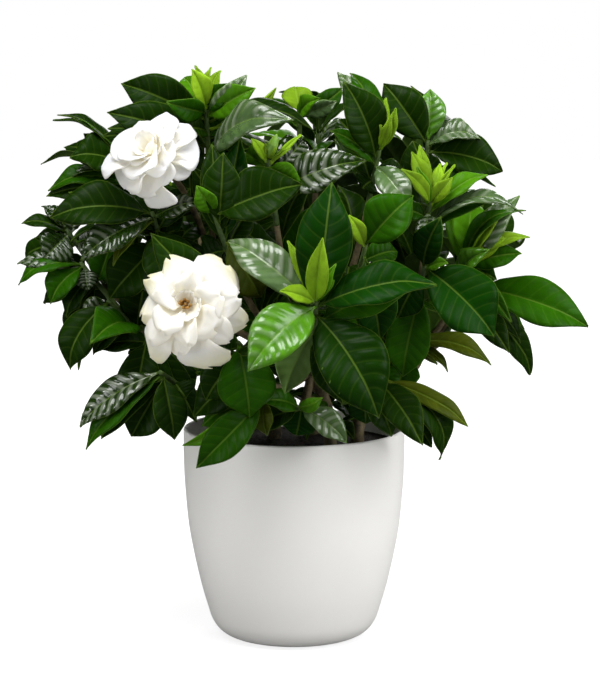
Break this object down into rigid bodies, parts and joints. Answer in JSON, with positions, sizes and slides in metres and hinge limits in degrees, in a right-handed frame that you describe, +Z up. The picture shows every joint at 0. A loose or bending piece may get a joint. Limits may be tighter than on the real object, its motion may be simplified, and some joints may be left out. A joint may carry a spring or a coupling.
{
  "type": "potted gardenia",
  "caption": "Bushy gardenia with dark glossy leaves, white double blooms and lime buds, growing in a round white pot filled with soil.",
  "frame": {"origin": "middle of the pot's flat base", "axes": "+Z up along the pot's axis; the front, with the two open blooms, faces -Y; +X is to the right in the front view"},
  "size_m": [0.4037, 0.3538, 0.4126],
  "materials": {
    "pot": "matte white",
    "soil": "damp dark potting mix",
    "bark": "matte woody stem",
    "leaf": "glossy dark green leaf",
    "petal": "soft creamy white petal",
    "calyx": "satin lime green"
  },
  "bodies": {
    "root": {"pot": "pot", "soil": "soil", "bloom_upper": "petal", "bloom_upper_calyx": "calyx", "bloom_lower": "petal", "bloom_lower_calyx": "calyx", "woody_stem_left": "bark", "woody_stem_front": "bark", "woody_stem_right": "bark", "woody_stem_back": "bark", "bud_left": "calyx", "bud_right": "calyx", "shoot_crown_left": "leaf", "shoot_left_upper": "leaf", "shoot_left_middle": "leaf", "shoot_left_outer": "leaf", "shoot_left_lower": "leaf", "shoot_left_low": "leaf", "shoot_low_hanging": "leaf", "shoot_low_left": "leaf", "shoot_low_centre": "leaf", "shoot_rim_left": "leaf", "shoot_middle_left": "leaf", "shoot_young_left": "leaf", "shoot_crown_middle": "leaf", "shoot_crown_right": "leaf", "shoot_middle_right": "leaf", "shoot_upper_right": "leaf", "shoot_young_right": "leaf", "shoot_right": "leaf", "shoot_right_low": "leaf", "shoot_inner_right": "leaf", "shoot_low_right": "leaf", "shoot_rim_right": "leaf", "shoot_rim_front": "leaf", "shoot_centre": "leaf", "shoot_back_low_1": "leaf", "shoot_back_low_2": "leaf", "shoot_back_low_3": "leaf", "shoot_back_low_4": "leaf", "shoot_back_middle_1": "leaf", "shoot_back_middle_2": "leaf", "shoot_back_middle_3": "leaf", "shoot_back_middle_4": "leaf", "shoot_back_middle_5": "leaf", "shoot_back_high_1": "leaf", "shoot_back_high_2": "leaf", "shoot_back_high_3": "leaf", "shoot_back_high_4": "leaf", "shoot_back_top_1": "leaf"}
  },
  "joints": []
}
